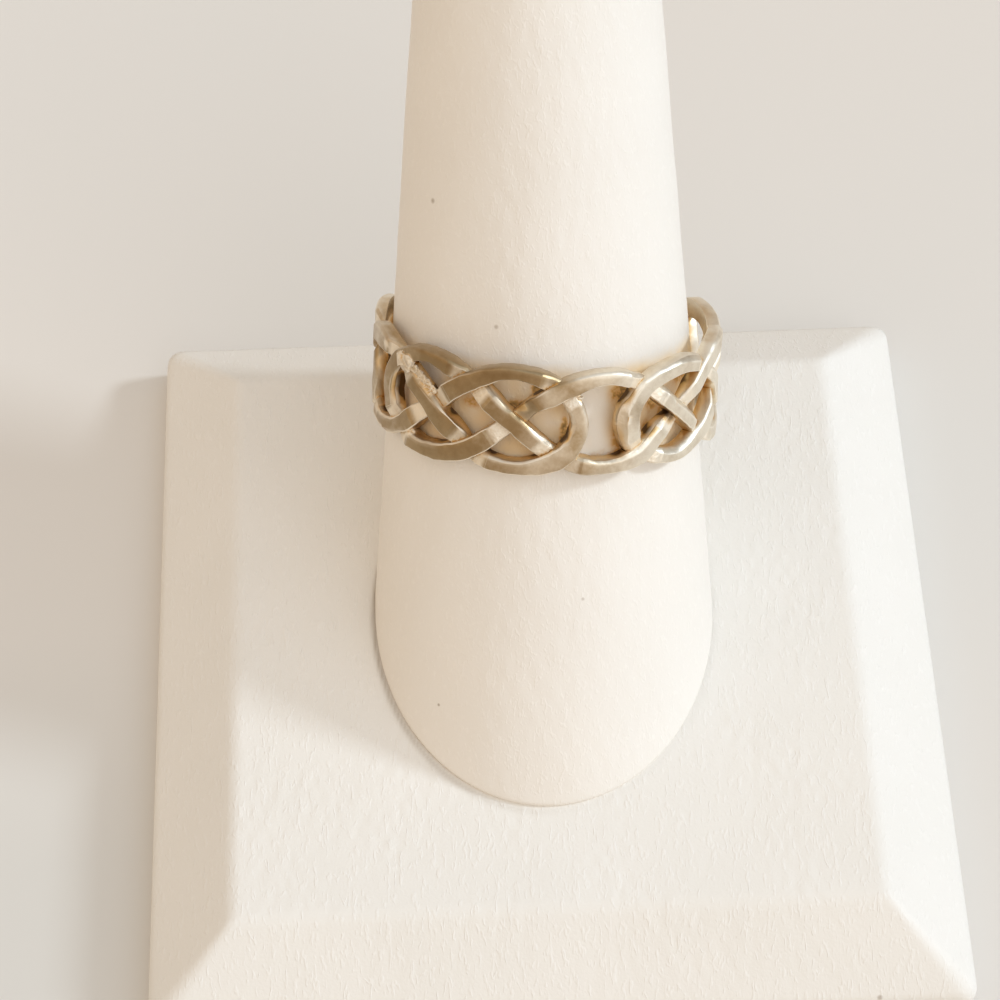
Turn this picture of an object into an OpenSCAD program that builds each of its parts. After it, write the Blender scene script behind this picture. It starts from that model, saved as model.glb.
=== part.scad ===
// Openwork band ring on a slanted ring stand, in millimetres.
// Front faces -Y, right is +X, up is +Z. The origin is the centre of the base's underside.

/* [Base] */
// Side of the square base
base_side = 48; // [44:0.5:54]
// Height of the upright edge round the base
lip_h = 2.5; // [1.5:0.1:5]
// Width of the bevel, seen from above
bevel_w = 5.5; // [4:0.1:7]
// Rise of the bevel from the edge to the top
bevel_h = 3.7; // [2.5:0.1:5]
// Radius of the base's four upright corners
corner_r = 1.4; // [0.5:0.1:3]

/* [Finger] */
// Radius of the finger where its axis leaves the base
foot_r = 10.35; // [9.8:0.05:10.4]
// What the radius loses for each millimetre along the axis
taper = 0.087; // [0.085:0.001:0.1]
// Length of the axis from the base to the tip
finger_len = 45; // [38:0.5:52]
// Radius of the rounded edge at the tip
tip_round = 3.5; // [1:0.25:4.5]
// How far the finger leans back from upright, in degrees
lean_back = 39.8; // [30:0.1:42]
// How far it leans to the right, in degrees
lean_side = 0.9; // [0:0.1:2]
// How far behind the middle of the base the finger stands
foot_back = 1.8; // [0:0.1:3]
// Glue line between the finger and the base
glue_gap = 0.1; // [0.05:0.05:0.3]

/* [Ring] */
// Radius of the ring's bore
bore_r = 9.52; // [9.5:0.01:9.8]
// Thickness of the ring where a strap lies on top
wall = 1; // [0.8:0.05:1.4]
// Width of a strap
strap_w = 1; // [0.8:0.02:1.06]
// Bevel along a strap's outer edges
strap_bevel = 0.12; // [0.06:0.01:0.2]
// How far a strap dips where another crosses over it
dip = 0.42; // [0.2:0.02:0.55]
// Height of the ring's middle above the base, along the finger
ring_up = 14.7; // [14.6:0.1:16]
// How far the ring hangs to the right of the finger's axis
hang_right = 0.26; // [0:0.02:0.26]
// How far it hangs forward of the axis
hang_front = 0.2; // [0:0.02:0.2]
// How far the ring tips forward, in degrees
tip_front = 4; // [0:0.2:4]
// How far it tips to the right, in degrees
tip_right = 3.2; // [0:0.2:3.2]

/* [Knot] */
// How many times the knot repeats round the ring
repeats = 4; // [3:1:4]
// Angle between neighbouring columns of crossings
column = 15.2; // [14.8:0.1:15.4]
// Angle from the middle of a knot to the turn of its end loop
loop_end = 36.3; // [35:0.1:37]
// Turn of the first open window from the front
first_window = 17; // [0:1:45]
// Height of the upper crossings above the middle of the band
crossing_z = 2; // [1.8:0.05:2.2]
// Height of a scallop's crest
crest_z = 2.75; // [2.5:0.05:3]
// Height of the arc over a window
arc_z = 2.56; // [2.4:0.05:2.8]
// Slices from one knot point to the next
slices = 5; // [4:1:6]

/* [Hidden] */

top_z = lip_h + bevel_h;
foot = [0, foot_back, top_z];
over_r = bore_r + wall;
pitch = 360 / repeats;
half = pitch / 2;
// The finger is drawn this much too long at its foot, and cut level there
overrun = 12;
tip_steps = 12;
// Shares of the way to a crossing between which the strap below slopes down
dip_start = 0.5;
dip_end = 0.86;

// One closed strap runs round a window and hooks through the knots on its two sides.
// angle is in degrees from the window's middle, z is the height in the band, and
// weave is 1 where the strap passes over, -1 where it passes under, 0 where nothing crosses.
right_side = [
    [half - 2 * column, crossing_z, -1],
    [half - column, 0, 1],
    [half, -crossing_z, -1],
    [half + column, -crest_z, 0],
    [half + 2 * column, -crossing_z, 1],
    [half + loop_end, 0, 0],
    [half + 2 * column, crossing_z, -1],
    [half + column, crest_z, 0],
    [half, crossing_z, 1],
    [half - column, 0, -1],
    [half - 2 * column, -crossing_z, 1],
];
left_side = [for (i = [len(right_side) - 1 : -1 : 0]) let (k = right_side[i]) [-k[0], k[1], -k[2]]];
knots = concat([[0, arc_z, 0]], right_side, [[0, -arc_z, 0]], left_side);

function knot(i) = knots[(i + len(knots)) % len(knots)];

// Smooth curve through four neighbouring values, at the share t of the middle stretch
function smooth(a, b, c, d, t) =
    0.5 * (2 * b + (c - a) * t + (2 * a - 5 * b + 4 * c - d) * t * t + (3 * b - a - 3 * c + d) * t * t * t);

// Slope of the same curve
function slope(a, b, c, d, t) =
    0.5 * (c - a + 2 * (2 * a - 5 * b + 4 * c - d) * t + 3 * (3 * b - a - 3 * c + d) * t * t);

// Share of the dip at the share t of the way to a crossing under another strap
function sink(t) = min(1, max(0, (t - dip_start) / (dip_end - dip_start)));

// Angle, height, climb in degrees and thickness of a strap at position u, in knot points
function station(u) = let (
        i = floor(u), t = u - i,
        a = knot(i - 1), b = knot(i), c = knot(i + 1), d = knot(i + 2),
        angle_rate = slope(a[0], b[0], c[0], d[0], t) * PI / 180 * over_r,
        climb_rate = slope(a[1], b[1], c[1], d[1], t),
        sunk = max(b[2] < 0 ? sink(1 - t) : 0, c[2] < 0 ? sink(t) : 0)
    )
    [
        smooth(a[0], b[0], c[0], d[0], t),
        smooth(a[1], b[1], c[1], d[1], t),
        atan2(climb_rate, angle_rate),
        wall - dip * sunk
    ];

// Outline of a strap: flat on the bore, bevelled along its two outer edges
function strap_outline(thick) = [
    [-strap_w / 2, 0],
    [strap_w / 2, 0],
    [strap_w / 2, thick - strap_bevel],
    [strap_w / 2 - strap_bevel, thick],
    [-strap_w / 2 + strap_bevel, thick],
    [-strap_w / 2, thick - strap_bevel],
];

// Corners of the strap at a station, wrapped round the bore
function strap_corners(s) = [
    for (p = strap_outline(s[3]))
        let (turn = s[0] - p[0] * sin(s[2]) * 180 / PI / over_r, r = bore_r + p[1])
            [r * sin(turn), -r * cos(turn), s[1] + p[0] * cos(s[2])]
];

// Short length of strap between two stations: its ends are outlines, its sides are quads
module strap_piece(s, e) {
    n = len(strap_outline(wall));
    hull()
        polyhedron(
            concat(strap_corners(s), strap_corners(e)),
            concat(
                [[for (i = [0 : n - 1]) i], [for (i = [n - 1 : -1 : 0]) n + i]],
                [for (i = [0 : n - 1]) [i, n + i, n + (i + 1) % n, (i + 1) % n]]
            )
        );
}

module strap_loop()
    for (i = [0 : len(knots) * slices - 1])
        strap_piece(station(i / slices), station((i + 1) / slices));

// Frame of the finger: +Z runs up its axis, -Y is its front
module on_finger()
    translate(foot) rotate([-lean_back, 0, 0]) rotate([0, lean_side, 0]) children();

module ring_band()
    color([0.62, 0.57, 0.5])
        on_finger()
            translate([hang_right, -hang_front, ring_up]) rotate([tip_front, tip_right, 0])
                for (i = [0 : repeats - 1])
                    rotate([0, 0, first_window + i * pitch]) strap_loop();

// Half section of the finger: a straight taper, a rounded edge that is tangent to it, a flat tip
module finger_section() {
    tilt = atan(taper);
    round_z = finger_len - tip_round;
    round_x = foot_r - taper * round_z - tip_round / cos(tilt);
    polygon(concat(
        [[0, -overrun], [foot_r + taper * overrun, -overrun]],
        [for (i = [0 : tip_steps]) let (turn = tilt + (90 - tilt) * i / tip_steps)
            [round_x + tip_round * cos(turn), round_z + tip_round * sin(turn)]],
        [[0, finger_len]]
    ));
}

module finger_cone()
    color([0.94, 0.92, 0.89])
        difference() {
            on_finger() rotate_extrude($fn = 96) finger_section();
            translate([0, foot_back, top_z + glue_gap - 2 * overrun])
                cube([6 * overrun, 6 * overrun, 4 * overrun], center = true);
        }

// Side view of the base: an upright edge under a bevel
module base_side_view()
    polygon([
        [-base_side / 2, 0],
        [base_side / 2, 0],
        [base_side / 2, lip_h],
        [base_side / 2 - bevel_w, top_z],
        [-base_side / 2 + bevel_w, top_z],
        [-base_side / 2, lip_h],
    ]);

module base_plan() {
    inner = base_side - 2 * corner_r;
    square([base_side, inner], center = true);
    square([inner, base_side], center = true);
    for (x = [-inner / 2, inner / 2], y = [-inner / 2, inner / 2])
        translate([x, y]) circle(corner_r, $fn = 48);
}

module display_base()
    color([0.93, 0.91, 0.88])
        intersection() {
            linear_extrude(top_z) base_plan();
            rotate([90, 0, 0]) linear_extrude(base_side + 2, center = true) base_side_view();
            rotate([90, 0, 90]) linear_extrude(base_side + 2, center = true) base_side_view();
        }

ring_band();
finger_cone();
display_base();
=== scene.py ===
"""Openwork silver ring worn on the slanted finger of a small leatherette ring stand.

Lengths are in millimetres until a mesh is made. +X is right, -Y is the front and +Z is up,
and the origin is the centre of the base's underside.
"""

import bpy
import numpy as np
from mathutils import Matrix, Vector


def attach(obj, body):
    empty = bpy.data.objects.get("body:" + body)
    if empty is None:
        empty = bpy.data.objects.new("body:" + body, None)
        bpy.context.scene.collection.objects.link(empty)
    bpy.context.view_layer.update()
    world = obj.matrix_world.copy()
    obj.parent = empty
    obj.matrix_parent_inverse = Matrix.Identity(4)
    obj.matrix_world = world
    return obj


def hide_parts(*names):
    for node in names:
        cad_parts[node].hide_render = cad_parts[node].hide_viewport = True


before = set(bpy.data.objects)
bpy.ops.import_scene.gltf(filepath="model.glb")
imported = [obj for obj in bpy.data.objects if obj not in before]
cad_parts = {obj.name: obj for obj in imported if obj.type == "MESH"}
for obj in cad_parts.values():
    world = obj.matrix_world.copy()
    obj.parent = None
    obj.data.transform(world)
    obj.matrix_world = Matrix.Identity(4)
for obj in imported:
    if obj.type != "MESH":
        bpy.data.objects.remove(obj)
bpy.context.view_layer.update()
scene = bpy.context.scene


# Camera
# It looks down on the front of the stand, from a little to the left, and cuts off the
# finger's tip and the front edge of the base. mm is one millimetre in Blender's metres.
mm = 0.001
aim = Vector((-2.42, 7.65, 8.26)) * mm
elevation, swing, roll = np.radians((57.57, -1.52, -0.84))
stand_off = 173 * mm
sensor_width, lens_length = 36, 100.7
nearest, farthest = 0.01, 10

back = Vector(
    (
        np.sin(swing) * np.cos(elevation),
        -np.cos(swing) * np.cos(elevation),
        np.sin(elevation),
    )
)
level = Vector((np.cos(swing), np.sin(swing), 0))
upright = back.cross(level)
right = np.cos(roll) * level + np.sin(roll) * upright
up = np.cos(roll) * upright - np.sin(roll) * level
camera = bpy.data.objects.new("camera", bpy.data.cameras.new("camera"))
scene.collection.objects.link(camera)
camera.matrix_world = (
    Matrix.Translation(aim + stand_off * back)
    @ Matrix((right, up, back)).transposed().to_4x4()
)
camera.data.sensor_width = sensor_width
camera.data.lens = lens_length
camera.data.clip_start, camera.data.clip_end = nearest, farthest
scene.camera = camera
scene.view_settings.view_transform = "Standard"


# Floor and light
# A plain pale table with a large window on the right, under a pale ceiling, in a room
# whose walls are lit by warm lamps.
table_half = 900
table_below = 0.03
table_light, table_dark = (0.79, 0.75, 0.70), (0.76, 0.74, 0.70)
table_painted_shade = (0.70, 0.685, 0.645)
table_mottle = 14.0
# To the front left of the stand the table is painted greyer, as painted shade, which sets
# in between these places
shade_none_y, shade_full_y = 4, -12
shade_none_x, shade_full_x = -18, -30
daylight, lamplight = (0.8, 0.9, 1.0), (1.0, 0.62, 0.24)
window_from = Vector((1.0, 0.12, 0.62))
window_power = 1.32
window_width = 0.16
room_dimmest = (0.01, 0.006, 0.003)
# Where each soft light of the room stands, how narrow it is, its strength and its tint
room_lights = [
    ((0, 0, 1), 1, 0.68, daylight),
    ((-1, 0, 0.1), 2, 0.33, lamplight),
    ((0, 1, 0.1), 2, 0.38, lamplight),
    ((0, -1, 0.1), 2, 0.42, lamplight),
    ((-0.64, 0, 0.77), 6, 0.38, lamplight),
    ((0.6, -0.52, 0.61), 6, 1.1, (1, 1, 1)),
    ((0.55, -0.82, 0.16), 12, 0.2, daylight),
    ((-0.93, -0.22, 0.28), 30, 0.42, (1.0, 0.88, 0.68)),
]


def node_adder(tree):
    """Empties a node tree and returns a function that adds a node to it: settings are the
    node's own values, and each keyword is an input, by its name or by an underscore and its
    number, given as a number, a colour or the socket that feeds it."""
    tree.nodes.clear()

    def add(kind, settings=(), **inputs):
        node = tree.nodes.new("ShaderNode" + kind)
        for key, value in dict(settings).items():
            setattr(node, key, value)
        for key, value in inputs.items():
            socket = node.inputs[int(key[1:]) if key[1:].isdigit() else key.replace("_", " ")]
            if isinstance(value, bpy.types.NodeSocket):
                tree.links.new(value, socket)
            else:
                socket.default_value = (*value, 1) if socket.type == "RGBA" else value
        return node

    return add


def finish_named(name):
    """Starts a material. Returns it and the function that adds its nodes."""
    material = bpy.data.materials.new(name)
    material.use_nodes = True
    return material, node_adder(material.node_tree)


def maths(add, operation, *values):
    """Result of one arithmetic node on the values."""
    inputs = {f"_{place}": value for place, value in enumerate(values)}
    return add("Math", {"operation": operation}, **inputs).outputs[0]


def noise(add, coords, scale, detail=2.0, **more):
    """Noise round 0.5, in lumps of about 1 / scale metres."""
    return add("TexNoise", Vector=coords, Scale=scale, Detail=detail, **more).outputs["Fac"]


def spread(add, value, low, high, least=0.0, most=1.0):
    """Runs straight from least, where the value is low, to most, where it is high."""
    sockets = {"From_Min": low, "From_Max": high, "To_Min": least, "To_Max": most}
    return add("MapRange", Value=value, **sockets).outputs[0]


def ramp(add, factor, stops):
    """Colour ramp: stops are (position, colour) pairs, with at least two of them."""
    node = add("ValToRGB", Fac=factor)
    band = node.color_ramp
    while len(band.elements) < len(stops):
        band.elements.new(0.5)
    for element, (place, colour) in zip(band.elements, stops):
        element.position = place
        element.color = (*colour, 1)
    return node.outputs["Color"]


def mixed(add, share, a, b):
    """Colour a where share is 0 and colour b where it is 1."""
    return add("Mix", {"data_type": "RGBA"}, _0=share, _6=a, _7=b).outputs[2]


floor_mesh = bpy.data.meshes.new("table")
corners = [(-1, -1), (1, -1), (1, 1), (-1, 1)]
floor_mesh.from_pydata(
    [(table_half * mm * x, table_half * mm * y, -table_below * mm) for x, y in corners],
    [],
    [(0, 1, 2, 3)],
)
floor = bpy.data.objects.new("table", floor_mesh)
scene.collection.objects.link(floor)
table_paint, add = finish_named("table_paint")
table_coords = add("TexCoord").outputs["Object"]
mottle = noise(add, table_coords, table_mottle)
table_colour = ramp(add, mottle, [(0.3, table_dark), (0.7, table_light)])
across_table, along_table = add("SeparateXYZ", Vector=table_coords).outputs[:2]
# Painted shade: the table is greyer to the front left of the stand
forward = spread(add, along_table, shade_none_y * mm, shade_full_y * mm)
aside = spread(add, across_table, shade_none_x * mm, shade_full_x * mm)
table_colour = mixed(add, maths(add, "MULTIPLY", forward, aside), table_colour, table_painted_shade)
table_shader = add("BsdfPrincipled", Base_Color=table_colour, Roughness=0.6)
add("OutputMaterial", Surface=table_shader.outputs[0])
floor_mesh.materials.append(table_paint)

window = bpy.data.lights.new("window", "SUN")
window.energy = window_power
window.angle = window_width
window.color = daylight
window_object = bpy.data.objects.new("window", window)
window_object.rotation_mode = "QUATERNION"
window_object.rotation_quaternion = window_from.to_track_quat("Z", "Y")
scene.collection.objects.link(window_object)

room = bpy.data.worlds.new("room")
scene.world = room
room.use_nodes = True
add = node_adder(room.node_tree)
# Each soft light is a broad lobe: its colour times the cosine to its middle, to a power
room_glow = room_dimmest
toward = add("TexCoord").outputs["Generated"]
for middle, narrowness, strength, tint in room_lights:
    middle = Vector(middle).normalized()
    cosine = add("VectorMath", {"operation": "DOT_PRODUCT"}, _0=toward, _1=middle).outputs["Value"]
    share = maths(add, "POWER", maths(add, "MAXIMUM", cosine, 0.0), narrowness)
    colour = strength * Vector(tint)
    lobe = add("VectorMath", {"operation": "SCALE"}, _0=colour, Scale=share).outputs[0]
    room_glow = add("VectorMath", {"operation": "ADD"}, _0=lobe, _1=room_glow).outputs[0]
room_light = add("Background", Color=room_glow).outputs[0]
add("OutputWorld", Surface=room_light)


# Display base
# A square block of fibreboard, wrapped in white leatherette with a fine crinkled grain.
# The sheet is drawn down over a broad bevel and glued under the block, where a card covers
# its turned-in edges.
base_half = 24.0
lip_height = 2.5
bevel_width = 5.5
field_height = 6.2
upright_corner = 1.4
field_corner = 0.25
card_corner = 1.0
field_rim = 0.4
field_cells = 200
side_rows = 72
# Share of the way from the field to the card's middle where the bevel reaches the lip
lip_share = 0.34
margin_width = 7.0
card_recess = 0.3
card_middle = 2
edge_radii = (1.1, 0.5, 0.35, 0.08, 0.12)
# Crinkles, the patches that they come in, the soft unevenness of the padding, and the
# heights between which all of it sets in
crinkle_width, crinkle_height, crinkle_stretch = 0.75, 0.009, (1, 2.6, 1)
patch_width = 7
padding_width, padding_height, padding_sunk = 9, 0.012, 0.02
smooth_below, uneven_above = 1.0, 4.0
# Painted warm light bounced off the ring, painted shade beside it that is partly stain,
# painted contact shadow round the finger's foot, and specks on the sheet
painted_bounce_tan = (0.95, 0.735, 0.44)
brown_stain_and_shade, black_stain_and_shade = (0.78, 0.46, 0.15), (0.17, 0.10, 0.025)
foot_shadow_brown, speck_brown = (0.36, 0.28, 0.19), (0.30, 0.22, 0.14)
crumb_scale, clot_scale, mottle_scale = 5200.0, 3600.0, 160.0


def rounded(points, radii, steps=6):
    """Outline through points, with each inner corner replaced by an arc. The arc starts and
    ends radius * tan(turn / 2) from the corner, and its points lie at even turns."""
    points = np.asarray(points, float)
    made = [points[:1]]
    for before, here, after, radius in zip(points, points[1:], points[2:], radii):
        into, out_of = here - before, after - here
        into, out_of = into / np.linalg.norm(into), out_of / np.linalg.norm(out_of)
        turn = np.arctan2(into[0] * out_of[1] - into[1] * out_of[0], into @ out_of)
        side = np.sign(turn) * np.array([-into[1], into[0]])
        start = here - into * radius * np.tan(abs(turn) / 2)
        at = np.linspace(0, abs(turn), steps)[:, None]
        made.append(start + radius * (np.sin(at) * into + (1 - np.cos(at)) * side))
    return np.concatenate(made + [points[-1:]])


def resampled(path, places):
    """Points of a path at the given shares of its length."""
    steps = np.linalg.norm(np.diff(path, axis=0), axis=1)
    along = np.concatenate([[0], np.cumsum(steps)]) / steps.sum()
    return np.stack([np.interp(places, along, column) for column in path.T], axis=-1)


def swell(points, size, seed, stretch=(1, 1, 1), waves=28):
    """Smooth random field between about -2 and 2: a sum of plane waves of random direction
    and phase, with wavelengths round size, made longer along an axis by stretch."""
    rng = np.random.default_rng(seed)
    heading = rng.normal(size=(waves, 3))
    heading /= np.linalg.norm(heading, axis=1)[:, None]
    heading *= (2 * np.pi / size * rng.uniform(0.6, 1.6, waves))[:, None]
    heading /= np.asarray(stretch, float)
    phase = rng.uniform(0, 2 * np.pi, waves)
    return np.cos(points @ heading.T + phase).sum(-1) / np.sqrt(waves / 2)


def fade(values, low, high):
    """0 up to low, 1 from high on, and straight between."""
    return np.clip((values - low) / (high - low), 0, 1)


def read_all(items, key, width=1, kind=np.float32):
    """What Blender keeps under a key for each item, as an array with width columns."""
    values = np.zeros(len(items) * width, kind)
    items.foreach_get(key, values)
    return values.reshape(-1, width) if width > 1 else values


def mesh_object(name, vertices, faces, material):
    """Mesh of the vertices, given in millimetres, with its faces turned outwards: the
    signed volume under the faces is positive when they look out."""
    vertices = np.asarray(vertices, float) * mm
    mesh = bpy.data.meshes.new(name)
    mesh.from_pydata(vertices.tolist(), [], [list(f) for f in faces])
    mesh.validate()
    mesh.calc_loop_triangles()
    corners = read_all(mesh.loop_triangles, "vertices", 3, np.int32)
    a, b, c = np.moveaxis(vertices[corners], 1, 0)
    if np.einsum("ij,ij->i", a, np.cross(b, c)).sum() < 0:
        mesh.flip_normals()
    mesh.polygons.foreach_set("use_smooth", np.ones(len(mesh.polygons), bool))
    mesh.materials.append(material)
    made = bpy.data.objects.new(name, mesh)
    scene.collection.objects.link(made)
    return made


def grid_faces(index, close=False):
    """Quads between the rows of an index grid; close joins the last column to the first."""
    if close:
        index = np.concatenate([index, index[:, :1]], axis=1)
    quads = np.stack([index[:-1, :-1], index[:-1, 1:], index[1:, 1:], index[1:, :-1]], -1)
    return quads.reshape(-1, 4).tolist()


def fan(row, point, flipped=False):
    """Triangles between a closed row of points and one more point."""
    pairs = zip(row, np.roll(row, -1))
    return [(b, a, point) if flipped else (a, b, point) for a, b in pairs]


def kept_on(add, name):
    """The value that a piece's mesh keeps under that name, or 0 where it keeps none."""
    return add("Attribute", {"attribute_name": name}).outputs["Fac"]


def leatherette(name, colour, shade_colour, drawn_out, fineness, depth, specks):
    """Embossed sheet. Its grain is a noise on object coordinates drawn out along an axis:
    the sheet is creased up where the noise passes its middle value, a second noise breaks
    the creases into short pieces, and between them it is a little darker. Each speck is a
    place, a radius and a strength."""
    material, add = finish_named(name)
    coords = add("TexCoord").outputs["Object"]
    drawn = add("Mapping", Vector=coords, Scale=drawn_out).outputs[0]
    thread = noise(add, drawn, fineness, 1.0, Distortion=0.4)
    off = maths(add, "ABSOLUTE", maths(add, "SUBTRACT", thread, 0.5))
    crease = spread(add, off, 0.0, 0.11, 1.0, 0.0)
    broken = spread(add, noise(add, drawn, 1.5 * fineness, 1.0), 0.5, 0.62)
    crumb = noise(add, coords, crumb_scale, 1.0)
    raised = maths(add, "MULTIPLY", crease, broken)
    height = maths(add, "MULTIPLY_ADD", crumb, 0.7, raised)
    bump = add("Bump", Height=height, Strength=1.0, Distance=depth * mm).outputs[0]
    mottle = noise(add, coords, mottle_scale, 1.0)
    paint = mixed(add, maths(add, "MULTIPLY_ADD", raised, 0.5, mottle), shade_colour, colour)
    # Painted warm light bounced off the ring, with its shade, on the finger's cover
    paint = mixed(add, kept_on(add, "rub"), paint, painted_bounce_tan)
    # Painted shade under the ring's straps, partly stain, mixed in as brown and then black
    soil = kept_on(add, "soil")
    clot = spread(add, noise(add, coords, clot_scale), 0.38, 0.58, 0.45)
    soil = maths(add, "MULTIPLY", soil, clot)
    paint = mixed(add, spread(add, soil, 0.0, 0.4), paint, brown_stain_and_shade)
    paint = mixed(add, spread(add, soil, 0.35, 0.95), paint, black_stain_and_shade)
    # Painted contact shadow round the finger's foot
    paint = mixed(add, kept_on(add, "joint"), paint, foot_shadow_brown)
    for place, radius, strength in specks:
        middle = Vector(place) * mm
        off = add("VectorMath", {"operation": "DISTANCE"}, _0=coords, _1=middle).outputs["Value"]
        dark = spread(add, off, 1.3 * radius * mm, 0.5 * radius * mm, 0.0, strength)
        paint = mixed(add, dark, paint, speck_brown)
    shader = add("BsdfPrincipled", Base_Color=paint, Roughness=0.55, Normal=bump)
    add("OutputMaterial", Surface=shader.outputs[0])
    return material


base_cover = leatherette(
    "base_leatherette",
    colour=(0.905, 0.88, 0.83),
    shade_colour=(0.86, 0.835, 0.78),
    drawn_out=(1.0, 0.35, 0.35),
    fineness=2600.0,
    depth=0.017,
    specks=[((10.05, -20.5, 4.83), 0.14, 0.5), ((18.23, -23.7, 2.68), 0.16, 0.5)],
)

# Side view of the cover, from the field's edge over the bevel and the lip to the card
field_half = base_half - bevel_width
side_view = rounded(
    [
        (field_half, field_height),
        (field_half + field_rim, field_height),
        (base_half, lip_height),
        (base_half, 0),
        (base_half - margin_width, 0),
        (base_half - margin_width, card_recess),
        (card_middle, card_recess),
    ],
    edge_radii,
)
side_share = np.linspace(0, 1, side_rows)
reach, rise = resampled(side_view, side_share).T

# Unit square, once round in as many steps as the field's edge has cells
step = np.linspace(-1, 1, field_cells + 1)
low_edge = np.stack([step, np.full_like(step, -1)], -1)[:-1]
turned = [low_edge @ np.array([[c, s], [-s, c]]) for c, s in ((1, 0), (0, 1), (-1, 0), (0, -1))]
square = np.concatenate(turned)


def rounded_square(half, corner):
    """Points round a square of that half side. Where both coordinates lie within the
    corner radius of the edge, the point moves onto the arc in the same direction."""
    points = square * half
    inner = np.maximum(np.abs(points) - (half - corner), 0)
    far = np.linalg.norm(inner, axis=1)
    at_corner = (inner > 0).all(1)
    moved = np.sign(points) * (half - corner + corner * inner / np.maximum(far, 1e-9)[:, None])
    return np.where(at_corner[:, None], moved, points)


cut_back = np.interp(side_share, [0, lip_share, 1], [field_corner, upright_corner, card_corner])
skirt = np.stack(
    [
        np.column_stack([rounded_square(h, c), np.full(len(square), z)])
        for h, z, c in zip(reach, rise, cut_back)
    ]
)
field_x, field_y = np.meshgrid(step * field_half, step * field_half)
field = np.stack([field_x, field_y, np.full_like(field_x, field_height)], -1)
cover = np.concatenate([field.reshape(-1, 3), skirt[1:].reshape(-1, 3), [(0, 0, card_recess)]])
cover_index = np.arange(len(cover))
field_index = cover_index[: field_x.size].reshape(field_x.shape)
skirt_index = cover_index[field_x.size : -1].reshape(-1, len(square))
# Once round the field, in the same order as the unit square
round_field = [
    field_index[0, :-1],
    field_index[:-1, -1],
    field_index[-1, :0:-1],
    field_index[:0:-1, 0],
]
round_field = np.concatenate(round_field)
cover[round_field] = skirt[0]

# The crinkles run from front to back
plane = cover * (1, 1, 0)
crinkle = swell(plane, crinkle_width, 11, crinkle_stretch)
crinkle = crinkle * (0.6 + 0.4 * swell(plane, patch_width, 12))
uneven = crinkle_height * crinkle.clip(-2, 2) + padding_height * swell(plane, padding_width, 13)
cover[:, 2] += fade(cover[:, 2], smooth_below, uneven_above) * (uneven - padding_sunk)

base_faces = (
    grid_faces(field_index)
    + grid_faces(np.concatenate([round_field[None], skirt_index])[::-1], close=True)
    + fan(skirt_index[-1], cover_index[-1])
)
base = mesh_object("base_cover", cover, base_faces, base_cover)
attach(base, "root")
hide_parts("display_base")


# Ring finger
# A turned wooden cone, wrapped in the same leatherette as the base, with its seam at the
# back and the sheet gathered over the rounded tip. It leans back and is glued down.
foot = np.array([0, 1.8, field_height])
foot_radius = 10.35
taper = 0.087
finger_length = 45.0
tip_round = 3.5
lean_back, lean_side = np.radians((39.8, 0.9))
glue_gap = 0.1
finger_columns = 380
finger_rows, tip_rows, disc_rows = 150, 26, 12
# The sheet is tucked in at the foot, where close rows follow its curl
tuck_depth, tuck_reach = 0.34, 0.13
curl = np.array([0.0, 0.03, 0.07, 0.12, 0.18, 0.26])[:, None]
lap_height, lap_degrees = 0.13, 9
pleats, pleat_depth = 11, 0.07
# Its soft ripples and fine creases, and how far it lies under the cone's own surface
ripple_width, ripple_height, ripple_stretch = 6, 0.02, (1, 1, 1.6)
crease_width, crease_height, crease_stretch = 0.9, 0.006, (1, 1, 2)
sheet_sunk = 0.04
# How far the painted contact shadow at the finger's foot reaches
foot_shadow_reach = 0.16


def turned_about(axis, angle):
    """Matrix that turns points about a coordinate axis: the two others turn in their plane."""
    one, other = (axis + 1) % 3, (axis + 2) % 3
    matrix = np.eye(3)
    matrix[one, one] = matrix[other, other] = np.cos(angle)
    matrix[other, one] = np.sin(angle)
    matrix[one, other] = -matrix[other, one]
    return matrix


finger_frame = turned_about(0, -lean_back) @ turned_about(1, lean_side)


def record_on(mesh, name, values):
    """Keeps a value for each point of a mesh, for its material to read."""
    kept = mesh.attributes.new(name, "FLOAT", "POINT")
    kept.data.foreach_set("value", values.astype(np.float32))


turn = np.linspace(0, 2 * np.pi, finger_columns, endpoint=False)
around = np.stack([np.sin(turn), -np.cos(turn), np.zeros_like(turn)], -1)
# Where each straight line of the cone meets the base: height is linear along the line
sideways = around @ finger_frame[2]
start = (glue_gap - foot_radius * sideways) / (finger_frame[2, 2] - taper * sideways)
slope = np.arctan(taper)
round_from = finger_length - tip_round
round_centre = foot_radius - taper * round_from - tip_round / np.cos(slope)
shoulder = round_from + tip_round * np.sin(slope)

share = np.linspace(0, 1, finger_rows)[:, None]
straight = start + (shoulder - start) * share
rows_up = np.concatenate([start + curl, straight[1:]])
tuck = tuck_depth * np.exp(-(rows_up - start) / tuck_reach)
rows_out = foot_radius - taper * rows_up - tuck
bend = np.linspace(slope, np.pi / 2, tip_rows)[1:, None]
tip_up = round_from + tip_round * np.sin(bend) + 0 * turn
tip_out = round_centre + tip_round * np.cos(bend) + 0 * turn
disc_out = np.linspace(round_centre, 0, disc_rows)[1:-1, None] + 0 * turn
disc_up = finger_length + 0 * disc_out
up_axis = np.concatenate([rows_up, tip_up, disc_up])
out_axis = np.concatenate([rows_out, tip_out, disc_out])

on_cone = np.concatenate(
    [out_axis[..., None] * around[None, :, :2], up_axis[..., None]], axis=-1
)
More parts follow.
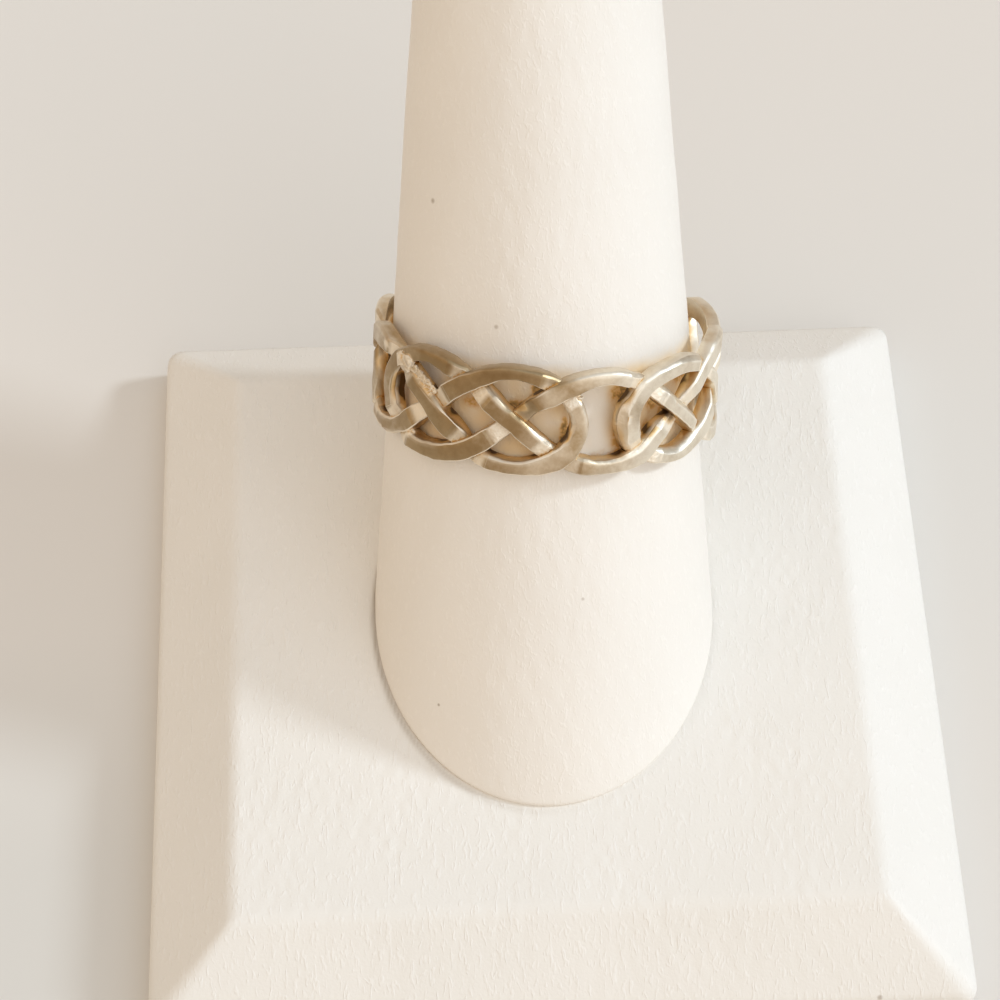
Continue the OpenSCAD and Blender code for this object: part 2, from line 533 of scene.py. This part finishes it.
# Soft unevenness, mostly inwards, a lapped seam at the back, and pleats at the tip
past_back = (np.degrees(turn) - 180)[None]
lap = lap_height * (past_back > 0) * np.exp(-past_back.clip(0) / lap_degrees)
ripple = ripple_height * swell(on_cone, ripple_width, 21, ripple_stretch)
ripple += crease_height * swell(on_cone, crease_width, 22, crease_stretch)
gather = fade(up_axis - shoulder, 0, 2) * fade(out_axis, 0, 3)
pleat = np.abs(np.sin(turn * pleats + 0.8 * np.sin(turn * 3)))[None] - 1
above_foot = fade(up_axis - start, 0.1, 0.7)
push = above_foot * (ripple - sheet_sunk + lap * fade(out_axis, 0, 6))
push += pleat_depth * gather * pleat
facing = np.concatenate(
    [
        np.broadcast_to(around[None, :, :2], on_cone.shape[:2] + (2,)),
        np.full(on_cone.shape[:2] + (1,), taper),
    ],
    axis=-1,
)
sleeve = on_cone + push[..., None] * facing
sleeve = np.concatenate([sleeve.reshape(-1, 3), [(0, 0, finger_length)]]) @ finger_frame.T + foot
sleeve = np.concatenate([sleeve, [foot + (0, 0, glue_gap)]])
sleeve_index = np.arange(up_axis.size).reshape(up_axis.shape)
tip_point, foot_point = up_axis.size, up_axis.size + 1
finger_faces = (
    grid_faces(sleeve_index, close=True)
    + fan(sleeve_index[-1], tip_point)
    + fan(sleeve_index[0], foot_point, flipped=True)
)
finger_cover = leatherette(
    "finger_leatherette",
    colour=(0.92, 0.882, 0.82),
    shade_colour=(0.875, 0.837, 0.775),
    drawn_out=(1.0, 0.5, 0.45),
    fineness=3200.0,
    depth=0.011,
    specks=[
        ((-5.85, 14.47, 29.43), 0.16, 0.6),
        ((-2.5, 7.8, 26.24), 0.13, 0.45),
        ((-6.64, -6.88, 8.89), 0.11, 1.0),
        ((1.98, -3.65, 15.08), 0.1, 0.35),
    ],
)
finger = mesh_object("finger_sleeve", sleeve, finger_faces, finger_cover)


def shadow_round_foot(turn, away):
    """Share of painted contact shadow at a turn round the finger and a distance from where it
    meets the base. It falls off as the exponential of minus the distance squared, and most is
    on the left, the shaded side."""
    shadow_share = 0.7 * np.exp(-((away / foot_shadow_reach) ** 2)) * (0.3 - 0.7 * np.sin(turn + 0.3)).clip(0.04)
    return shadow_share.clip(0, 1)


finger_foot_shadow = shadow_round_foot(turn, up_axis - start)
record_on(finger.data, "joint", np.append(finger_foot_shadow.ravel(), [0, 0]))
# The same painted contact shadow on the base's upper side, by how far it is clear of the finger
x, y, z = ((cover - foot) @ finger_frame).T
base_foot_shadow = shadow_round_foot(np.arctan2(x, -y), np.hypot(x, y) - foot_radius + taper * z)
record_on(base.data, "joint", base_foot_shadow * (cover[:, 2] > lip_height))
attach(finger, "root")
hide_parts("finger_cone")


# Openwork ring
# One silver casting: four closed straps hook through each other round the band and pass
# over and under by turns. The faces are flat and worn, their edges are rubbed bright, the
# walls of the openings have gone golden, and dark tarnish is left in the corners.
bore_radius = 9.52
wall = 1.0
over_radius = bore_radius + wall
strap_width = 1.14
lower_bevel, upper_bevel = 0.05, 0.2
# Share of a strap's thickness that a bevel takes at most, and the width of its soft crease
bevel_limit = 0.75
crease = 0.02
# How far a strap's sides lean in, the radius of its inner edges, how far above the middle
# of a side its row of points lies, and the crown on the middle share of its face
side_lean, inner_round, above_middle = 0.01, 0.06, 0.03
crown, crown_share = 0.006, 0.35
# Under another strap a strap dips, between these shares of the way to it, and its inner
# side lifts off the bore
dip, under_lift = 0.42, 0.05
dip_start, dip_end = 0.5, 0.86
# Where the ring hangs, in the finger's own frame, and how far it tips
ring_place = np.array([0.26, -0.2, 14.7])
tip_front, tip_right = np.radians((4, 3.2))
# The knot: its angles in degrees round the band, its heights from the band's middle
repeats = 4
column = 15.2
loop_end = 36.3
first_window = 17
crossing_z = 2.0
crest_z = 2.75
arc_z = 2.56
half_pitch = 180 / repeats
stations_per_knot = 22
crease_half = 0.012
# Each strap is made in two lengths, cut at this knot and half a loop on, where it passes
# under another
cut_knot = 3
# Share or height of the casting's unevenness, and the length of its waves
width_varies, width_waves = 0.05, 4
thickness_varies, thickness_waves = 0.02, 3
bevel_varies, bevel_waves = 0.08, 2.6
edge_varies, edge_waves = 0.012, 0.9
# Sectors round the band in which its own top and bottom edges are sought
sectors = 720
sharp_turn = np.radians(38)
# Silver from clean to brown, walls from golden to black, rubbed edges, and raw skin whose
# cream is partly a painted reflection
face_colours = [
    (0.0, (0.90, 0.83, 0.70)),
    (0.67, (0.44, 0.325, 0.19)),
    (1.0, (0.33, 0.23, 0.12)),
]
wall_colours = [
    (0.0, (0.78, 0.66, 0.48)),
    (0.3, (0.78, 0.57, 0.31)),
    (0.7, (0.56, 0.36, 0.14)),
    (1.0, (0.12, 0.07, 0.03)),
]
edge_silver, raw_and_reflection_silver = (0.94, 0.88, 0.77), (0.96, 0.88, 0.75)
cloud_scale, blotch_scale = 620.0, 1900.0
wave_scale, knob_scale, grain_scale, skin_depth = 1300.0, 2600.0, 5200.0, 0.03
# Edges that look this way, up and to the right, are worn to a wider bevel, and there more
# or less so: angle, how far that reaches, and how much
wear_up, wear_right = 0.75, 0.66
worn_edges = [(58, 26, 0.12), (-35, 35, -0.06)]
# Sides of straps that the casting left broader, narrower or more sloping: angle and height
# on the band, how far that reaches in degrees and in height, which way the side looks, to
# the right and up, and what its width and its bevel gain
flaws = [
    (-12, 2.7, 11, 0.8, 0.0, -1.0, -0.42, 0.0),
    (-44, 2.7, 10, 0.8, 0.0, -1.0, -0.42, 0.0),
    (17, 2.5, 9, 0.6, 0.0, -1.0, -0.46, 0.0),
    (17, -2.5, 10, 0.6, 0.0, 1.0, -0.14, 0.0),
    (17, -2.5, 12, 0.6, 0.0, -1.0, -0.16, 0.0),
    (-12, -2.7, 11, 0.8, 0.0, -1.0, -0.25, 0.0),
    (-12, -2.7, 10, 0.8, 0.0, 1.0, -0.1, 0.0),
    (-45, -2.7, 12, 0.8, 0.0, -1.0, -0.25, 0.0),
    (50, -2.7, 16, 0.9, 0.0, -1.0, -0.26, 0.0),
    (-80, -2.5, 14, 1.0, 0.0, -1.0, -0.1, 0.45),
    (-5, 0.7, 5, 0.9, 0.5, -0.9, -0.35, 0.0),
    (8, -0.2, 6, 1.7, -1.0, 0.0, -0.12, 0.2),
    (-12, 2.7, 13, 0.7, 0.0, 1.0, 0.0, -0.03),
    (38, -0.8, 6, 1.1, -0.6, 0.8, 0.06, 0.15),
    (-54, -1.4, 9, 0.9, -0.5, -0.9, 0.28, 0.0),
    (-46, 1.5, 6.5, 1.0, 0.7, 0.7, 0.1, 0.26),
    (-59, 0.0, 6, 1.7, 1.0, 0.0, 0.1, 0.25),
    (-33, -0.7, 5, 0.9, 0.7, 0.7, 0.0, -0.1),
    (26, -0.2, 6, 2.2, -1.0, 0.0, 0.28, 0.42),
    (121, 0.2, 7, 1.8, -1.0, 0.2, 0.15, 0.25),
    (163, -1.5, 9, 1.2, 0.4, 0.9, 0.15, 0.25),
    (-112, 1.2, 9, 1.2, 0.6, -0.8, 0.15, 0.2),
]
# Lumps left on the casting: angle and height on the band, height above the bore, and radius
lumps = np.array(
    [
        (-55.0, 2.2, 0.92, 0.36), (-51.6, 2.25, 0.9, 0.34), (-53.2, 1.85, 0.86, 0.3),
        (-50.1, 1.85, 0.72, 0.22), (-48.2, 1.64, 0.66, 0.22), (-46.2, 1.42, 0.66, 0.2),
        (-44.0, 1.22, 0.66, 0.23), (-41.6, 0.98, 0.66, 0.2), (-30.6, 2.2, 0.66, 0.15),
        (7.8, 1.6, 0.66, 0.2), (-22.7, -2.0, 0.66, 0.16), (-51.2, -2.1, 0.66, 0.26),
        (34.4, -2.3, 0.66, 0.2), (-66.5, 2.5, 0.7, 0.24), (104.0, -0.6, 0.66, 0.2),
        (133.0, 1.6, 0.66, 0.24), (-139.0, -1.7, 0.66, 0.24), (176.0, 0.6, 0.66, 0.2),
    ]
)

# Stretches where the straps are slimmer: angle, how far that reaches, and by what share
slimmed = [(42, 15, 0.17), (-60, 6, 0.12), (131, 14, 0.08), (-140, 14, 0.08)]

# Places where the knot came out uneven: angle and height on the band, how far that reaches
# in degrees and in height, and the shift to the right in degrees and up
shifts = [
    (-43, 0.7, 8, 1.3, 1.5, 0.16),
    (-34, -1.3, 6, 1.0, 1.9, 0.05),
    (38, -1.2, 6, 1.0, -1.3, 0.22),
    (58, -2.4, 8, 1.0, -0.8, 0.16),
    (112, 2.6, 22, 1.2, 0.0, 0.28),
]

# Where the band has worn thinner: angle, how far that reaches, and how much
worn_thin = [(-98, 38, 0.27), (95, 35, 0.13)]

# Faces browned more than the rest: angle and height on the band, how far that reaches in
# degrees and in height, and how much
browned = [
    (-52, 1.5, 11, 1.5, 0.42),
    (-38, 2.7, 11, 0.6, 0.5),
    (13, -2.6, 12, 0.7, 0.45),
    (27, 0.0, 6, 1.6, 0.25),
    (8, -0.2, 3, 1.6, 0.65),
    (-8, 1.0, 4, 0.9, 0.9),
    (-14, 0.0, 7, 0.9, 0.25),
    (0, 2.6, 4, 0.5, 0.7),
    (-12, 2.9, 11, 0.5, 0.75),
    (8, 2.1, 6, 0.7, 0.4),
    (-86, 0.4, 7, 2.0, 0.7),
]

# Where the faces are painted browner, as painted shade on the front left, and where the
# walls have stayed cleaner: angle, how far that reaches, and how much. Both are painted
# lighter behind, as painted light, which sets in between two angles.
front_left_painted_shade = [(-42, 42, 1.05)]
rinsed = [(66, 14, 0.4), (17, 9, 0.4)]
side_end, behind_start = 90, 120
brown_everywhere, painted_light_behind, walls_painted_light_behind = 0.12, 0.2, 0.4

# The ring's warm bounced light and the shade inside it are painted on the finger's cover up
# to the band's edges, as painted reflected light and painted shade, but less in the front
# window, given by its middle and half width in degrees and a share, and at places given by
# angle and height on the band, how far that reaches, and a share
painted_bounce_full, painted_bounce_none = 2.3, 3.0
window_middle, window_half, window_less_bounce = 15, 7, 0.8
less_painted_bounce = [(-49, 1.5, 7, 0.7, 0.8), (58, -2, 9, 0.8, 0.4)]
# The painted shade and stains on the cover lie lower and nearer the middle than the dark
# tarnish beside them
stain_shade_inwards, stain_shade_down = 0.88, 0.38

# Dark tarnish packed into corners, with brown and black beside it on the finger that is
# painted shade under the straps and partly stain: angle and height on the band, half width,
# half height and strength
soot_spots = [
    (-72, -1.8, 0.35, 0.3, 1.0), (-60.5, 0.6, 0.3, 1.0, 1.0), (-71.5, 0.0, 0.3, 0.7, 1.0),
    (-74.6, -2.0, 0.3, 0.4, 1.0), (-79.0, 1.2, 0.1, 0.9, 0.6), (-76.0, -0.3, 0.1, 0.9, 0.6),
    (-43.5, -2.4, 0.5, 0.3, 0.35), (-43.0, 0.9, 0.25, 0.25, 0.9), (-37.5, -2.35, 0.5, 0.3, 0.8),
    (-35.0, 0.1, 0.25, 0.4, 0.7), (-26.5, 0.8, 0.5, 0.25, 0.5), (-20.5, -2.1, 0.35, 0.3, 0.7),
    (-11.3, 1.0, 0.45, 0.25, 0.7), (-4.3, 1.9, 0.4, 0.4, 1.0), (-4.2, -2.3, 0.4, 0.4, 1.0),
    (4.2, -0.7, 0.2, 0.9, 1.0), (17.0, -1.95, 1.7, 0.14, 0.3), (24.2, 1.5, 0.6, 0.45, 0.85),
    (22.6, -1.2, 0.4, 1.0, 0.5), (34.2, -0.85, 0.35, 0.35, 1.0), (36.0, -1.3, 0.3, 0.3, 0.3),
    (42.3, -0.2, 0.45, 0.4, 0.9), (37.0, 0.6, 0.4, 0.3, 0.7), (60.5, 0.9, 0.4, 0.8, 0.5),
    (54.0, 1.6, 0.7, 0.45, 0.55), (66.0, 0.3, 0.35, 0.6, 0.8), (80.0, -2.0, 0.4, 0.4, 0.8),
    (105.0, 1.8, 0.4, 0.4, 0.9), (137.0, -0.5, 0.4, 0.5, 0.9), (163.0, 2.0, 0.4, 0.4, 0.9),
    (193.0, -2.0, 0.4, 0.4, 0.9), (221.0, 0.4, 0.4, 0.5, 0.9), (252.0, 1.9, 0.3, 0.3, 0.3),
]

# Knots of one strap: degrees from the window's middle, height in the band, and the weave,
# 1 where the strap passes over, -1 where it passes under and 0 where nothing crosses
right_side = [
    (half_pitch - 2 * column, crossing_z, -1),
    (half_pitch - column, 0, 1),
    (half_pitch, -crossing_z, -1),
    (half_pitch + column, -crest_z, 0),
    (half_pitch + 2 * column, -crossing_z, 1),
    (half_pitch + loop_end, 0, 0),
    (half_pitch + 2 * column, crossing_z, -1),
    (half_pitch + column, crest_z, 0),
    (half_pitch, crossing_z, 1),
    (half_pitch - column, 0, -1),
    (half_pitch - 2 * column, -crossing_z, 1),
]
left_side = [(-angle, z, -weave) for angle, z, weave in reversed(right_side)]
knots = np.array([(0, arc_z, 0), *right_side, (0, -arc_z, 0), *left_side], float)


def curve_through(values, at):
    """Smooth closed curve through the values, and its slope: between two knots it is the
    cubic whose slope at each knot is half the step between that knot's neighbours."""
    i = np.floor(at).astype(int)
    t = at - i
    a, b, c, d = (values[(i + k) % len(values)] for k in (-1, 0, 1, 2))
    square, cube = 2 * a - 5 * b + 4 * c - d, 3 * b - a - 3 * c + d
    value = 0.5 * (2 * b + (c - a) * t + square * t**2 + cube * t**3)
    return value, 0.5 * (c - a + 2 * square * t + 3 * cube * t**2)


def turned_from(angle, place):
    """Degrees from a place to an angle, the short way round."""
    return (angle - place + 180) % 360 - 180


def close_to(angle, place, reach):
    """1 at a place round the band, falling off as the exponential of minus the turn over
    its reach, squared."""
    return np.exp(-((turned_from(angle, place) / reach) ** 2))


def close_on(angle, z, place, height, reach, rise):
    """As close_to, for a place and a height on the band, with a reach along and upwards."""
    return np.exp(-((turned_from(angle, place) / reach) ** 2) - ((z - height) / rise) ** 2)


def total_at(angle, rows):
    """Sum, at an angle, of what rows of place, reach and amount say."""
    return sum(amount * close_to(angle, place, reach) for place, reach, amount in rows)


def on_band(angle, z, radial):
    """Point at an angle in degrees, a height in the band and a distance from the bore."""
    turn, radius = np.radians(angle), bore_radius + radial
    return np.stack([radius * np.sin(turn), -radius * np.cos(turn), z + 0 * turn], axis=-1)


def strap(first, last, turned, seed):
    """Solid strap between two positions, counted in knots. Its outline is a flat-topped
    bar with narrow rounded edges, carried along the knot's curve and wrapped round the
    bore: a point across the strap turns by its sideways part over the radius."""
    # Close pairs of stations keep the creases crisp where the strap starts to slope down
    creased = np.array([dip_start, dip_end, 1 - dip_start, 1 - dip_end])
    creased = np.concatenate([creased - crease_half, creased + crease_half])
    creased = (np.arange(first, last)[:, None] + creased).ravel()
    even = np.linspace(first, last, (last - first) * stations_per_knot + 1)
    at = np.unique(np.concatenate([even, creased]))
    angle, angle_rate = curve_through(knots[:, 0], at)
    z, climb_rate = curve_through(knots[:, 1], at)
    climb = np.arctan2(climb_rate, np.radians(angle_rate) * over_radius)
    weave = knots[:, 2]
    angle = angle + turned
    shifted = [(close_on(angle, z, *row[:4]), *row[4:]) for row in shifts]
    angle = angle + sum(near_it * to_right for near_it, to_right, _ in shifted)
    z = z + sum(near_it * upwards for near_it, _, upwards in shifted)
    near, share = np.floor(at).astype(int), at - np.floor(at)
    sunk = np.maximum(
        (weave[near % len(knots)] < 0) * fade(1 - share, dip_start, dip_end),
        (weave[(near + 1) % len(knots)] < 0) * fade(share, dip_start, dip_end),
    )
    middle = np.stack([np.radians(angle) * over_radius, z, np.full_like(z, seed)], -1)
    gain, slope = np.zeros((2, 2, len(at)))
    for *where, to_right, to_top, more_width, more_bevel in flaws:
        near_it = close_on(angle, z, *where)
        toward = to_top * np.cos(climb) - to_right * np.sin(climb)
        for side, facing in enumerate((toward, -toward)):
            gain[side] += more_width * near_it * np.clip(facing, 0, 1)
            slope[side] += more_bevel * near_it * np.clip(facing, 0, 1)
    width = strap_width * (1 + width_varies * swell(middle, width_waves, seed))
    for place, reach, less in slimmed:
        width *= 1 - less * close_to(angle, place, reach)
    thick = wall - total_at(angle, worn_thin) - dip * sunk
    thick = thick + thickness_varies * swell(middle, thickness_waves, seed + 50)
    outer, inner = (
        0.5 * width
        + gain[n]
        + (edge_varies + 0.04 * slope[n]) * swell(middle, edge_waves, seed + 20 + n)
        for n in (0, 1)
    )
    upward = wear_up * np.cos(climb) - wear_right * np.sin(climb)
    worn = upper_bevel - lower_bevel + total_at(angle, worn_edges)
    left_bevel, right_bevel = (
        (lower_bevel + worn * np.clip(facing, 0, 1))
        * (1 + bevel_varies * swell(middle, bevel_waves, seed + 60 + n))
        + slope[n] * (1 + 0.1 * swell(middle, edge_waves, seed + 80 + n))
        for n, facing in ((0, upward), (1, -upward))
    )
    left_bevel, right_bevel = (
        np.minimum(bevel, bevel_limit * thick)[:, None] for bevel in (left_bevel, right_bevel)
    )
    outer, inner, thick, lift = (v[:, None] for v in (outer, inner, thick, under_lift * sunk))
    # Bevel on each outer edge: just under it, at its low and high crease, and just inside
    in_share, in_more = np.array([0, 0.1, 0.9, 1]), np.array([0, 0, 0, crease])
    up_share, up_more = np.array([1, 0.9, 0.1, 0]), np.array([crease, 0, 0, 0])
    bend = np.radians((0, 60, 90))
    foot_in, foot_up = inner_round * (1 - np.cos(bend)), inner_round * (1 - np.sin(bend))
    across = np.concatenate(
        [
            outer - foot_in[::-1],
            outer - side_lean,
            outer - side_lean - left_bevel * in_share - in_more,
            outer * crown_share,
            0 * outer,
            -inner * crown_share,
            -inner + side_lean + (right_bevel * in_share + in_more)[:, ::-1],
            -inner + side_lean,
            -inner + foot_in,
            0 * outer,
        ],
        axis=1,
    )
    radial = np.concatenate(
        [
            lift + foot_up[::-1],
            0.5 * (thick - left_bevel) + above_middle,
            thick - left_bevel * up_share - up_more,
            thick + crown * 0.8,
            thick + crown,
            thick + crown * 0.8,
            thick - (right_bevel * up_share + up_more)[:, ::-1],
            0.5 * (thick - right_bevel) + above_middle,
            lift + foot_up,
            lift,
        ],
        axis=1,
    )
    turn = angle[:, None] - np.degrees(across * np.sin(climb)[:, None] / over_radius)
    points = on_band(turn, z[:, None] + across * np.cos(climb)[:, None], radial)
    index = np.arange(across.size).reshape(across.shape)
    return points.reshape(-1, 3), grid_faces(index, close=True) + [index[0][::-1], index[-1]]


def soot_at(angle, z):
    """Share of soot at an angle and a height on the band: the sum, up to 1, of a spot at
    each place, which falls off as the exponential of minus the distance's fourth power."""
    share = 0
    for place, height, half_width, half_height, strength in soot_spots:
        along = np.radians(turned_from(angle, place)) * bore_radius
        off = (along / half_width) ** 2 + ((z - height) / half_height) ** 2
        share += strength * np.exp(-0.5 * off**2)
    return share.clip(0, 1)


def pellets(places, seed, rings=7, ribs=12):
    """Small uneven balls of metal, each wider along the band and flatter outwards."""
    tilt = np.linspace(0, np.pi, rings + 2)[1:-1, None]
    spin = np.linspace(0, 2 * np.pi, ribs + 1)[:-1]
    ball = np.stack(
        [np.sin(tilt) * np.cos(spin), np.sin(tilt) * np.sin(spin), np.cos(tilt) + 0 * spin], -1
    )
    ball = np.concatenate([[(0, 0, 1)], ball.reshape(-1, 3), [(0, 0, -1)]])
    rows = 1 + np.arange(rings * ribs).reshape(rings, ribs)
    last = rings * ribs + 1
    faces = fan(rows[0], 0) + fan(rows[-1], last, flipped=True)
    faces += [quad[::-1] for quad in grid_faces(rows, close=True)]
    made, made_faces = [], []
    for place, (angle, z, above_bore, size) in enumerate(places):
        shape = ball * size * (1 + 0.2 * swell(ball, 1.1, seed + place)[:, None]) * (1.3, 1.2, 0.6)
        turn = np.radians(angle)
        made.append(
            on_band(angle, z, above_bore)
            + shape[:, :1] * (np.cos(turn), np.sin(turn), 0)
            + shape[:, 1:2] * (0, 0, 1)
            + shape[:, 2:] * (np.sin(turn), -np.cos(turn), 0)
        )
        made_faces += [[corner + place * len(ball) for corner in face] for face in faces]
    return np.concatenate(made), made_faces


ring_frame = finger_frame @ turned_about(0, tip_front) @ turned_about(1, tip_right)
ring_centre = finger_frame @ ring_place + foot

silver = bpy.data.materials.new("silver_blank")
half_loop = len(knots) // 2
lengths = []
for number in range(repeats):
    turned = first_window + number * 360 / repeats
    for part in (0, 1):
        begin = cut_knot + half_loop * part
        points, faces = strap(begin, begin + half_loop, turned, 30 + 2 * number + part)
        lengths.append(mesh_object(f"strap_{number}_{part}", points, faces, silver))
lengths.append(mesh_object("lumps", *pellets(lumps, 70), silver))
fused = lengths[0]
for other in lengths[1:]:
    union = fused.modifiers.new("union", "BOOLEAN")
    union.solver = "MANIFOLD"
    union.operation = "UNION"
    union.object = other
bpy.context.view_layer.update()
ring_mesh = bpy.data.meshes.new_from_object(
    fused.evaluated_get(bpy.context.evaluated_depsgraph_get())
)
for piece in lengths:
    bpy.data.objects.remove(piece)

local = read_all(ring_mesh.vertices, "co", 3).astype(float) / mm
normal = read_all(ring_mesh.vertex_normals, "vector", 3).astype(float)

# Rim: where a wall looks up or down and lies at the band's own top or bottom edge there
radius = np.linalg.norm(local[:, :2], axis=1)
facing_out = np.einsum("ij,ij->i", normal[:, :2], local[:, :2]) / radius
bearing = np.degrees(np.arctan2(local[:, 0], -local[:, 1]))
height = local[:, 2]
sector = ((bearing / 360 + 0.5) * sectors).astype(int) % sectors
top, bottom = np.full(sectors, -np.inf), np.full(sectors, np.inf)
np.maximum.at(top, sector, height)
np.minimum.at(bottom, sector, height)
below_top = np.where(normal[:, 2] > 0, top[sector] - height, height - bottom[sector])
rim = 1 - fade(below_top, 0.12, 0.42)

# Tarnish: on the walls, stronger the deeper they lie, little on the rims, none in the bore
depth = np.clip((over_radius - total_at(bearing, worn_thin) - radius) / wall, 0, 1)
steep = fade(1 - np.abs(facing_out), 0, 0.6)
tarnish = steep * fade(depth, 0.32, 0.82) * (1 - 0.8 * rim)

# Signed bend of each edge, as its ends see it: above 0 on an edge, below 0 in a corner
face_normal = read_all(ring_mesh.polygons, "normal", 3)
face_centre = read_all(ring_mesh.polygons, "center", 3)
loop_edge = read_all(ring_mesh.loops, "edge_index", kind=np.int32)
loop_total = read_all(ring_mesh.polygons, "loop_total", kind=np.int32)
loop_face = np.repeat(np.arange(len(loop_total)), loop_total)
one, two = loop_face[np.argsort(loop_edge, kind="stable")].reshape(-1, 2).T
bent = np.einsum("ij,ij->i", face_normal[one], face_normal[two]).clip(-1, 1)
sign = -np.sign(np.einsum("ij,ij->i", face_centre[two] - face_centre[one], face_normal[one]))
bent = np.arccos(bent) * sign
edge_wear, corner_dirt = np.zeros((2, len(local)))
for ends in read_all(ring_mesh.edges, "vertices", 2, np.int32).T:
    np.maximum.at(edge_wear, ends, bent)
    np.maximum.at(corner_dirt, ends, -bent)

# Patina: the faces have gone brown, and painted shade makes them most brown at the front
# left while painted light makes them least brown behind
darker = sum(more * close_on(bearing, height, *where) for *where, more in browned)
behind = fade(np.abs(bearing), side_end, behind_start)
patina = total_at(bearing, front_left_painted_shade) + brown_everywhere + 0.1 * swell(local, 3, 88) + darker
patina -= painted_light_behind * behind
# The walls are painted lighter behind, as painted light, and cleaner at the rinsed places
tarnish *= 1 - walls_painted_light_behind * behind - total_at(bearing, rinsed)
# Raw casting skin, its cream colour partly a painted reflection of pale surroundings: on the
# sunken stretches of straps, the broad, sloping sides and the lumps
raw = fade(depth, 0.05, 0.15) * fade(facing_out, 0.75, 0.9)
for *where, _, _, _, more_bevel in flaws:
    on_slope = fade(depth, 0.02, 0.06) * (facing_out > 0.3)
    raw += 5 * more_bevel * close_on(bearing, height, *where) * on_slope
for angle, z, above_bore, size in lumps:
    off = np.linalg.norm(local - on_band(angle, z, above_bore), axis=1)
    raw += fade(1.5 * size - off, 0, 0.1)
raw = raw.clip(0, 1) * fade(0.8 - depth, 0, 0.2) * (1 - darker.clip(0, 1))
patina *= 1 - 0.7 * raw
edge_wear *= 1 - darker.clip(0, 0.7)
# Dirt packed in the corners between straps, and the thicker soot
packed = 0.5 * fade(corner_dirt, 0.4, 1.0) * (1 - rim)
packed = packed + soot_at(bearing, height) * fade(depth, 0.08, 0.23)

for key, values in (
    ("tarnish", tarnish),
    ("patina", patina.clip(0, 1.5)),
    ("raw", raw),
    ("corner", packed.clip(0, 1)),
    ("edge", fade(edge_wear, 0.3, 0.5) * fade(0.5 - depth, 0, 0.2)),
):
    record_on(ring_mesh, key, values)

worn_silver, add = finish_named("worn_silver")
coords = add("TexCoord").outputs["Object"]
stain, corner, rubbed = (kept_on(add, name) for name in ("tarnish", "corner", "edge"))
cloud = noise(add, coords, cloud_scale, 3.0, Roughness=0.6)
soot = maths(add, "MULTIPLY", stain, spread(add, cloud, 0.36, 0.68, 0.25))
patchy = spread(add, cloud, 0.36, 0.56, 0.6)
soot = maths(add, "MULTIPLY_ADD", corner, patchy, soot)
side = maths(add, "MULTIPLY_ADD", cloud, 0.5, kept_on(add, "patina"))
blotch = noise(add, coords, blotch_scale, 3.0, Roughness=0.65)
side = spread(add, maths(add, "MULTIPLY_ADD", blotch, 0.8, side), 0.65, 2.15)
spoilt = spread(add, soot, 0.0, 0.25)
metal_colour = mixed(add, spoilt, ramp(add, side, face_colours), ramp(add, soot, wall_colours))
metal_colour = mixed(add, rubbed, metal_colour, edge_silver)
# Raw casting skin: rougher, and cream partly as a painted reflection
raw = kept_on(add, "raw")
cream = maths(add, "SUBTRACT", maths(add, "MULTIPLY", raw, patchy), corner)
cream.node.use_clamp = True
metal_colour = mixed(add, cream, metal_colour, raw_and_reflection_silver)
rough = spread(add, soot, 0.0, 1.0, 0.37, 0.5)
rough = maths(add, "MULTIPLY_ADD", rubbed, 0.28, rough)
rough = maths(add, "MULTIPLY_ADD", raw, 0.25, rough)
waves = noise(add, coords, wave_scale)
skin = maths(add, "MULTIPLY_ADD", noise(add, coords, grain_scale), 0.25, waves)
knobs = maths(add, "MULTIPLY", noise(add, coords, knob_scale, Roughness=0.6), raw)
skin = maths(add, "MULTIPLY_ADD", knobs, 5.0, skin)
cast_bump = add("Bump", Height=skin, Strength=0.6, Distance=skin_depth * mm).outputs[0]
metal = add(
    "BsdfPrincipled", Base_Color=metal_colour, Metallic=1.0, Roughness=rough, Normal=cast_bump
)
add("OutputMaterial", Surface=metal.outputs[0])

placed = (local @ ring_frame.T + ring_centre) * mm
ring_mesh.vertices.foreach_set("co", placed.astype(np.float32).ravel())
ring_mesh.materials.clear()
ring_mesh.materials.append(worn_silver)
ring_mesh.polygons.foreach_set("use_smooth", np.ones(len(ring_mesh.polygons), bool))
ring_mesh.set_sharp_from_angle(angle=sharp_turn)
ring_mesh.update()
ring = bpy.data.objects.new("openwork_ring", ring_mesh)
scene.collection.objects.link(ring)
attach(ring, "root")
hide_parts("ring_band")

# Painted reflected light and painted shade from the ring on the finger's cover inside it
under = (sleeve - ring_centre) @ ring_frame
height = under[:, 2]
bearing = np.degrees(np.arctan2(under[:, 0], -under[:, 1]))
rub = 1 - fade(np.abs(height), painted_bounce_full, painted_bounce_none)
rub *= np.clip(0.8 + 0.12 * swell(under, 1.6, 90), 0, 1)
rub *= 1 - window_less_bounce * np.exp(-(((bearing - window_middle) / window_half) ** 4))
for *where, less in less_painted_bounce:
    rub *= 1 - less * close_on(bearing, height, *where)
record_on(finger.data, "rub", rub)
# Painted shade under the straps, partly stain, beside the ring's dark tarnish
record_on(finger.data, "soil", soot_at(bearing * stain_shade_inwards, height + stain_shade_down))
